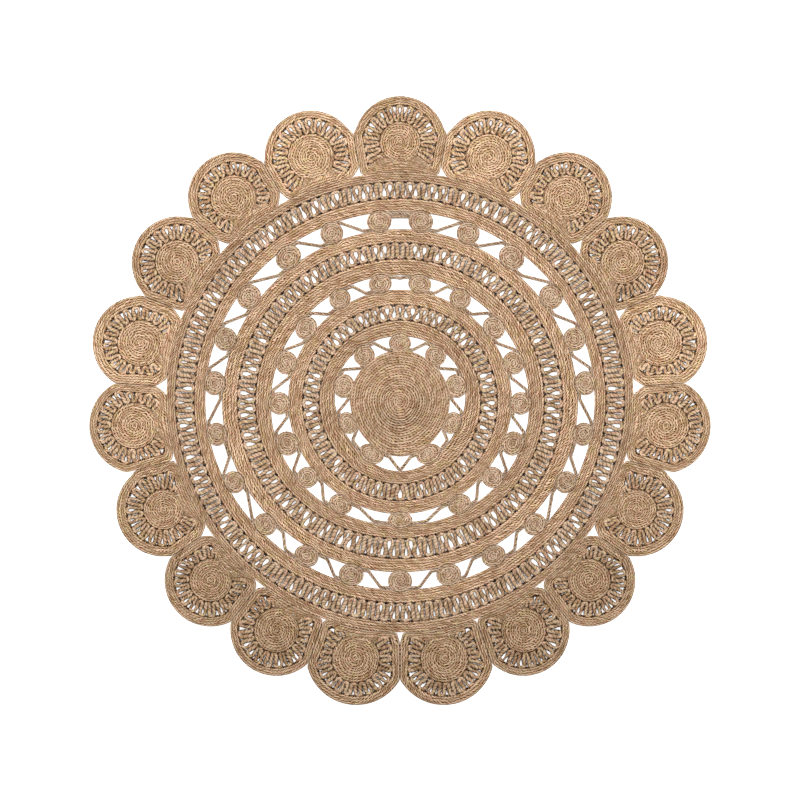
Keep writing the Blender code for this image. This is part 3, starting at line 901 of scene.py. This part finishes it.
widestLoops = {
    1: (1, 2, 3, 8, 11, 14, 15, 23, 24, 28, 29, 30, 33, 41, 58),
    2: (3, 5, 8, 9, 10, 17, 18, 19, 34, 40, 41, 45, 48, 49, 53, 55, 67, 69, 74, 75, 83, 85, 92),
    3: (2, 3, 7, 12, 16, 17, 19, 21, 26, 27, 31, 43, 48, 63, 70, 76, 80, 89, 90, 96, 97, 101),
}


def countAngle(ring, count):
    for before, after in zip(loopCounts, loopCounts[1:]):
        if count <= after[ring]:
            share = (count - before[ring]) / (after[ring] - before[ring])
            return before[0] + share * (after[0] - before[0])
    return 180.0


def openingAt(opening, height, inward, outward):
    # the middle of an opening and half its width, in degrees, at a height across the ring that
    # runs from 0 to 1
    angle, side, size, lean, widens = opening
    rise = height if widens > 0 else 1.0 - height
    top = 1.0 - (1.5 if widens == side else 0.3) * loops["cap"] / (outward - inward)
    tip = loops["tip"] + loops["shorter"] * max(0.0, 1.0 - size)
    half = loops["open"] * size * eased((rise - tip) / (top - tip) * 1.5)
    radius = inward + (outward - inward) * height
    return angle + lean * (height - 0.5), math.degrees(half / radius)


def legAt(left, right, height, inward, outward):
    # angle and width of the cord that fills the room between two openings
    leftMiddle, leftHalf = openingAt(left, height, inward, outward)
    rightMiddle, rightHalf = openingAt(right, height, inward, outward)
    room = rightMiddle - rightHalf - leftMiddle - leftHalf
    width = math.radians(room) * (inward + (outward - inward) * height) + loops["pressed"]
    width = min(max(width, loops["narrowest"]), loops["widest"])
    return (rightMiddle - rightHalf + leftMiddle + leftHalf) / 2, width


def loopPath(openings, innerAt, outerAt, centre=(0.0, 0.0), start=0.0, closed=False):
    # openings are (angle, side, size, lean, widens); the cord turns round one outside where its
    # side is +1, and it is widest outside where widens is +1
    if closed:
        first, last = openings[0], openings[-1]
        openings = [(last[0] - 360.0, *last[1:])] + openings + [(first[0] + 360.0, *first[1:])]
    stations = []

    def add(angle, height, width, shade):
        inward, outward = innerAt(angle), outerAt(angle)
        spot = pointAt(inward + (outward - inward) * height, angle + start, centre)
        stations.append((*spot, width, shade))

    def turnShape(index):
        # heights of a turn's foot and top, its middle, and angle and width of both its legs
        here = openings[index]
        inward, outward = innerAt(here[0]), outerAt(here[0])
        deep = outward - inward
        top = 1.0 - (loops["cap"] / 2 + loops["clear"]) / deep
        guess = top - 0.16 if here[1] > 0 else 1.16 - top
        middle, _ = openingAt(here, guess, inward, outward)
        before = legAt(openings[index - 1], here, guess, inward, outward)
        after = legAt(here, openings[index + 1], guess, inward, outward)
        spread = math.radians(after[0] - before[0]) / 2 * (inward + deep * guess)
        foot = top - min(0.85 * spread, 0.3 * deep) / deep
        return foot, top, middle, before, after

    count = len(openings)
    turns = {index: turnShape(index) for index in range(1, count - 1)}
    feet = [turns[index][0] if index in turns else loops["past"] for index in range(count)]
    if closed:
        feet[-1] = feet[1]
    feet = [foot if opening[1] > 0 else 1.0 - foot for foot, opening in zip(feet, openings)]
    cap, power = loops["cap"], 2.0 / loops["square"]
    for index in range(count - 1):
        left, right = openings[index:index + 2]
        shares = loops["shares"]
        if index in turns:
            shares = shares[1:]
            foot, top, middle, before, after = turns[index]
            for swing in loops["swings"]:
                sine, cosine = math.sin(math.radians(swing)), math.cos(math.radians(swing))
                leg, wide = after if sine > 0 else before
                angle = middle + (leg - middle) * abs(sine) ** power
                height = foot + (top - foot) * (cosine ** power if cosine > 0.001 else 0.0)
                add(angle, height if left[1] > 0 else 1.0 - height,
                    cap + (wide - cap) * abs(sine) ** 2, 0.3 + 0.7 * abs(sine) ** 3)
        elif closed:
            continue
        inward, outward = innerAt(left[0]), outerAt(left[0])
        for share in shares:
            height = feet[index] + (feet[index + 1] - feet[index]) * share
            angle, width = legAt(left, right, height, inward, outward)
            bend = loops["curl"] * math.sin(math.pi * share)
            bend *= noise.noise((angle * 0.25, height * 1.8, start))
            add(angle + math.degrees(bend / inward), height, width, 1.0)
    return stations


def shadedStitches(bm, spots, edgeAt, way, centre=(0.0, 0.0), start=0.0, closed=True):
    # a sunk flat strip beside an edge, where thread holds the turns; it is mapped into a groove, so it
    # takes the darkest groove colour, painted shade that darkens the notches between the turns
    bottom, top = loops["stitchHeight"]
    low, high = sorted((0.0, way * loops["stitchWidth"]))
    section = ((low, top), (high, top), (high, bottom), (low, bottom), (low, top))
    steps = len(spots) if closed else len(spots) - 1

    def place(step, column):
        psi = spots[step % len(spots)]
        across, height = section[column]
        if not closed and step in (0, steps):
            across, height = (low + high) / 2, (top + bottom) / 2
        return *pointAt(edgeAt(psi) + across, psi + start, centre), height

    # mapped onto a groove line, so the strip takes the painted groove shade
    layStrip(bm, steps, 4, place, lambda step, column: (step * 0.01, 0.0),
             tones=lambda step, column: loops["stitchShade"])


for ring in (1, 2, 3):
    name = "loop_ring_%d" % ring
    inside = insideOf(name)
    picks = random.Random(40 + ring)
    last = int(loopCounts[-1][ring])
    sizes, strays = [], []
    for count in range(last + 1):
        sizes.append(1.0 if count in widestLoops[ring] else picks.choice(loops["sizes"]))
        strays.append(0.0 if count in (0, last) else picks.uniform(-1.0, 1.0) * loops["stray"])
    openings = []
    for signed in range(-last + 1, last + 1):
        count = abs(signed)
        side = 1 if (count + ring) % 2 else -1
        way = 0 if count in (0, last) else 1 if signed > 0 else -1
        bearing = countAngle(ring, count)
        radius = edgeRadius(name, bearing)
        bearing += math.degrees(strays[count] / radius)
        lean = loops["lean"] * noise.noise((bearing * 0.11, 4.0, float(ring))) * 2.0
        lean += strays[count] * 0.8
        openings.append((way * bearing if way else bearing, side, sizes[count],
                         way * math.degrees(lean / radius), side))
    path = loopPath(openings, lambda angle: edgeRadius(inside, angle) + seam / 2,
                    lambda angle: edgeRadius(name, angle) - seam / 2, closed=True)
    bm = bmesh.new()
    length = freeCord(bm, path, closed=True, seed=60.0 + 10 * ring, tone=loops["tone"][ring - 1],
                      flankPower=loops["flank"])
    around = [360.0 * step / loops["stitchSteps"] for step in range(loops["stitchSteps"])]
    shadedStitches(bm, around, lambda angle: edgeRadius(inside, angle) + seam, 1)
    shadedStitches(bm, around, lambda angle: edgeRadius(name, angle) - seam, -1)
    near, far = meanRadius(inside), meanRadius(name)
    finishPiece(bm, name, "loop_jute", ((far - near) * mm, math.pi * (near + far) * mm))
    print(f"{name}: {length * mm:.1f} m of cord")
print("loop rings laid")


# medallions: an eye, a fan of loops round it, and rows that close it off

medallions = {
    "eyeTurns": 9,
    "eyeSides": 66,
    "rimSides": 144,
    "row": 6.9,
    "least": 0.6,             # the base needs room for this much of a row
    "pitch": 8.6,             # degrees from one opening of a fan to the next
    "overlap": 0.8,
    "openWide": (0.5, 0.6, 0.7),          # sizes of a fan's widest openings
    "openOut": (0.0, 0.0, 0.0, 0.35),     # and of the others, towards the rim and the eye
    "openIn": (0.0, 0.0, 0.1),
    "stray": 1.2,
    "lean": 4.0,
    "fanTone": 0.92,
    # how narrow the painted shade on the fan's flanks is
    "flank": 1.2,
    "fanPast": 4.0,           # the shaded stitch strips run this far past the fan's ends, in degrees
    "fanSteps": 90,
    "baseUnder": 1.5,         # the base starts this far under the fan's ends
    "shoulders": (70.0, 100.0),
    "straightened": 0.16,     # how much the arc's ends open out past the shoulders
    "flat": (0.26, 1.12),     # width of the flat cord work, and what it needs over its area
}
medallionRows = [
    # angle, arc centre, arc, touches the next at, eye centre, eye, rim, fan from, fan to, tone, widest
    (0.0, 764.7, 135.0, 9.9, 763.5, 60.0, 25.0, -128, 128, 1.02, (-63, -33, -16, -6, 6, 16, 33, 63)),
    (20.0, 767.1, 136.4, 29.85, 766.5, 68.0, 22.0, -143, 143, 1.14, (-50, -38, -15, 0, 17, 25, 50)),
    (39.3, 776.0, 133.5, 48.5, 774.0, 68.0, 28.0, -150, 140, 1.02, (-60, -43, -13, 3, 33, 65, 80)),
    (58.0, 771.8, 136.1, 67.7, 774.4, 65.0, 22.0, -152, 143, 1.00, (-63, -45, -15, 10, 47, 73)),
    (77.4, 786.8, 138.2, 86.4, 784.0, 68.0, 30.0, -148, 148, 1.14, (-97, -78, -65, -47, 7, 53)),
    (95.3, 778.0, 141.1, 104.6, 787.0, 68.0, 22.0, -148, 150, 1.06,
     (-85, -65, -47, 12, 38, 70, 95, 107)),
    (114.6, 768.8, 137.0, 124.2, 767.0, 59.0, 28.0, -152, 140, 0.97,
     (-103, -65, -47, -23, 0, 20, 42, 63)),
    (133.4, 767.4, 136.4, 142.5, 768.2, 63.0, 26.0, -150, 143, 0.87,
     (-85, -73, -58, -25, 0, 12, 28, 60)),
    (151.6, 765.9, 135.8, 160.7, 767.5, 66.0, 21.0, -150, 145, 0.86, (-62, -38, -20, -2, 37, 63)),
    (170.2, 757.6, 148.8, 180.0, 770.0, 70.0, 24.0, -148, 143, 0.86, (-52, -37, 5, 32, 47, 63, 73)),
]
leastRoom = medallions["row"] * medallions["least"]
openCorners = [
    # height of the open corner where two medallions and the last band meet, and how far its feet
    # lie before and after the touch, in degrees
    (25.0, 0.1, 1.7), (30.0, 0.8, 1.8), (30.0, 1.0, 2.0), (31.0, 0.3, 1.6), (30.0, 1.9, 1.8),
    (11.0, 1.8, 0.3), (27.0, 1.6, 1.5), (17.0, 1.4, 1.4), (9.0, 0.6, 0.5), (33.0, 0.7, 0.7),
]


def cornersOf(index):
    # touch, side, tip and foot of both open corners of a medallion
    found = []
    touch, (rise, back, _) = medallionRows[index][3], openCorners[index]
    sides = [(touch, 1, rise, back), (-touch, -1, rise, back)]
    if index:
        touch, (rise, _, back) = medallionRows[index - 1][3], openCorners[index - 1]
        sides[1] = (touch, -1, rise, back)
    for touch, side, rise, back in sides:
        foot = touch - side * back
        found.append((touch, side, pointAt(edgeRadius("band_6", touch) + rise, touch),
                      pointAt(edgeRadius("band_6", foot), foot)))
    return found


def lineReach(point, heading, onLine, normal, gap):
    # distance along a heading to a line, or none where the heading runs away from it
    closing = heading[0] * normal[0] + heading[1] * normal[1]
    if closing <= 0.05 * math.hypot(*normal):
        return None
    room = (onLine[0] - point[0]) * normal[0] + (onLine[1] - point[1]) * normal[1]
    return (room - gap * math.hypot(*normal)) / closing


def medallionEdge(row, corners, psi):
    # distance from the eye's centre to the medallion's edge
    angle, arcCentre, arc, _, eyeCentre = row[:5]
    eye = pointAt(eyeCentre, angle)
    heading = pointAt(1.0, angle + psi)
    hub = pointAt(arcCentre, angle)
    away = (eye[0] - hub[0], eye[1] - hub[1])
    along = away[0] * heading[0] + away[1] * heading[1]
    first, last = medallions["shoulders"]
    past = eased((min(psi, 360.0 - psi) - first) / (last - first))
    wide = arc * (1.0 + medallions["straightened"] * past)
    reach = [-along + math.sqrt(along ** 2 - (away[0] ** 2 + away[1] ** 2) + wide ** 2)]
    for touch, side, tip, foot in corners:
        beside = (side * math.cos(math.radians(touch)), -side * math.sin(math.radians(touch)))
        reach.append(lineReach(eye, heading, tip, beside, seam / 2))
        if 90.0 < psi < 270.0:
            slope = (side * (tip[1] - foot[1]), side * (foot[0] - tip[0]))
            reach.append(lineReach(eye, heading, tip, slope, 0.0))
    closing = eye[0] * heading[0] + eye[1] * heading[1]
    bearing = angle
    distance = None
    for _ in range(3):
        radius = edgeRadius("band_6", bearing) + seam / 2
        inside = closing ** 2 - math.hypot(*eye) ** 2 + radius ** 2
        if closing > 0.0 or inside < 0.0:
            break
        distance = -closing - math.sqrt(inside)
        spot = (eye[0] + distance * heading[0], eye[1] + distance * heading[1])
        bearing = math.degrees(math.atan2(*spot))
    reach.append(distance)
    return min(value for value in reach if value is not None)


def fanOpenings(row, picks):
    # openings alternate outwards and inwards from one end of the fan to the other
    start, end, _, widest = row[7:]
    count = 2 * round((end - start) / medallions["pitch"] / 2) + 1
    openings = []
    for index in range(count):
        psi = start + (end - start) * index / (count - 1)
        side = 1 if index % 2 else -1
        size = picks.choice(medallions["openOut" if side > 0 else "openIn"])
        if any(abs(psi - spot) < medallions["pitch"] * 0.7 for spot in widest):
            size = picks.choice(medallions["openWide"])
        stray = picks.uniform(-medallions["stray"], medallions["stray"])
        lean = picks.uniform(-medallions["lean"], medallions["lean"])
        if index in (0, count - 1):
            size = stray = lean = 0.0
        openings.append((psi + stray, side, size, lean, 1))
    if row[0] == 0.0:
        half = openings[:count // 2]
        middle = (0.0, *openings[count // 2][1:3], 0.0, 1)
        opposite = [(-psi, side, size, -lean, 1) for psi, side, size, lean, _ in half[::-1]]
        openings = half + [middle] + opposite
    return openings


def baseRows(bm, centre, start, spots, outerAt, eyeAt, seed):
    # rows laid inside the rim below the loops, each one ending where it runs into the eye
    steps = len(spots) - 1
    deepest = max(outerAt(psi) - eyeAt(psi) for psi in spots)
    rows = max(1, math.ceil(deepest / medallions["row"] - 0.3))
    pitch = deepest / rows
    lengths = [0.0]
    for before, after in zip(spots, spots[1:]):
        lengths.append(lengths[-1] + math.radians(after - before) * outerAt(after) * mm)

    def layFace(perRow, heightOf):
        def place(step, column):
            psi = spots[step]
            if step in (0, steps):
                column -= column % (perRow // 2)
            line = column / perRow
            near = eyeAt(psi)
            distance = outerAt(psi) - (rows - line) * pitch
            rim = column in (0, perRow * rows) or step in (0, steps) or distance <= near
            height = cord["edge"] if rim else heightOf(line, math.radians(psi) * distance)
            return *pointAt(max(near, distance), psi + start, centre), height

        layStrip(bm, steps, perRow * rows, place,
                 lambda step, column: (lengths[step], column / perRow + seed), under=perRow == 2)

    layFace(4, lambda line, along: rowHeight(line, seed, along))
    layFace(2, lambda line, along: 0.0 if line % 1.0 else cord["underGroove"])


def baseStretches(first, last, outerAt, eyeAt):
    # the parts of the base where there is room for rows above the rim
    steps = round((last - first) / 2.0)
    spots = [first + (last - first) * step / steps for step in range(steps + 1)]
    found = [(roomy, list(stretch)) for roomy, stretch
             in groupby(spots, lambda psi: outerAt(psi) - eyeAt(psi) > leastRoom)]
    return [stretch for roomy, stretch in found if roomy and len(stretch) > 3]


def buildMedallion(index, number, mirrored):
    row = medallionRows[index]
    corners = cornersOf(index)
    angle, _, _, _, eyeCentre, eyeRadius, rim, fanFrom, fanTo, tone, _ = row
    overlap = medallions["overlap"]
    centre = pointAt(eyeCentre, angle)
    sides = medallions["rimSides"]
    sharp = [medallionEdge(row, corners, 360.0 * side / sides) for side in range(sides)]
    edge = [min(far, (sharp[side - 1] + 2 * far + sharp[(side + 1) % sides]) / 4)
            for side, far in enumerate(sharp)]
    base = max(rim, edge[sides // 2] - eyeRadius + 3.0)

    def rimAt(psi):
        # the rim runs a little wider below the eye
        return rim + (base - rim) * max(0.0, -math.cos(math.radians(psi))) ** 2

    inner = [edge[side] - rimAt(360.0 * side / sides) for side in range(sides)]

    def rimSide(psi):
        # loops and base reach a little way under the rim
        place = psi % 360.0 / 360.0 * sides
        low = int(place) % sides
        return inner[low] + (inner[(low + 1) % sides] - inner[low]) * (place - int(place)) + overlap

    def eyeEdge(psi):
        # the eye fills the base where there is no room for a row
        near = rimSide(psi)
        return near if near - eyeRadius < leastRoom else eyeRadius

    def eyeSide(psi):
        return eyeEdge(psi) - overlap

    bm = bmesh.new()
    seed = 100.0 + 20 * index
    rows = round((rim + base) / 2 / medallions["row"])
    ringRows(bm, sides, rows, inner, edge, centre, angle, seed, atOpenings=(False, True))
    coilRows(bm, medallions["eyeTurns"], medallions["eyeSides"],
             lambda turn: pointAt(eyeEdge(turn), turn + angle), centre, seed=seed + 7)
    path = loopPath(fanOpenings(row, random.Random(index)), eyeSide, rimSide, centre, angle)
    freeCord(bm, path, seed=seed + 13, tone=medallions["fanTone"], flankPower=medallions["flank"])
    past, steps, under = medallions["fanPast"], medallions["fanSteps"], medallions["baseUnder"]
    fan = [fanFrom - past + (fanTo - fanFrom + 2 * past) * step / steps for step in range(steps + 1)]
    shadedStitches(bm, fan, eyeSide, 1, centre, angle, closed=False)
    shadedStitches(bm, fan, rimSide, -1, centre, angle, closed=False)
    stretches = baseStretches(fanTo - under, fanFrom + 360.0 + under, rimSide, eyeSide)
    for stretch, spots in enumerate(stretches):
        baseRows(bm, centre, angle, spots, rimSide, eyeSide, seed + 3 + 8 * stretch)
    area = sum(far * far for far in edge) / sides * math.pi * mm * mm
    wide, spare = medallions["flat"]
    finishPiece(bm, "medallion_%02d" % number, "medallion_jute", (wide, area / wide * spare), area,
                tone, mirrored)


for index in range(len(medallionRows)):
    buildMedallion(index, index + 1, False)
    if index:
        buildMedallion(index, 20 - index, True)
print("medallions wound")
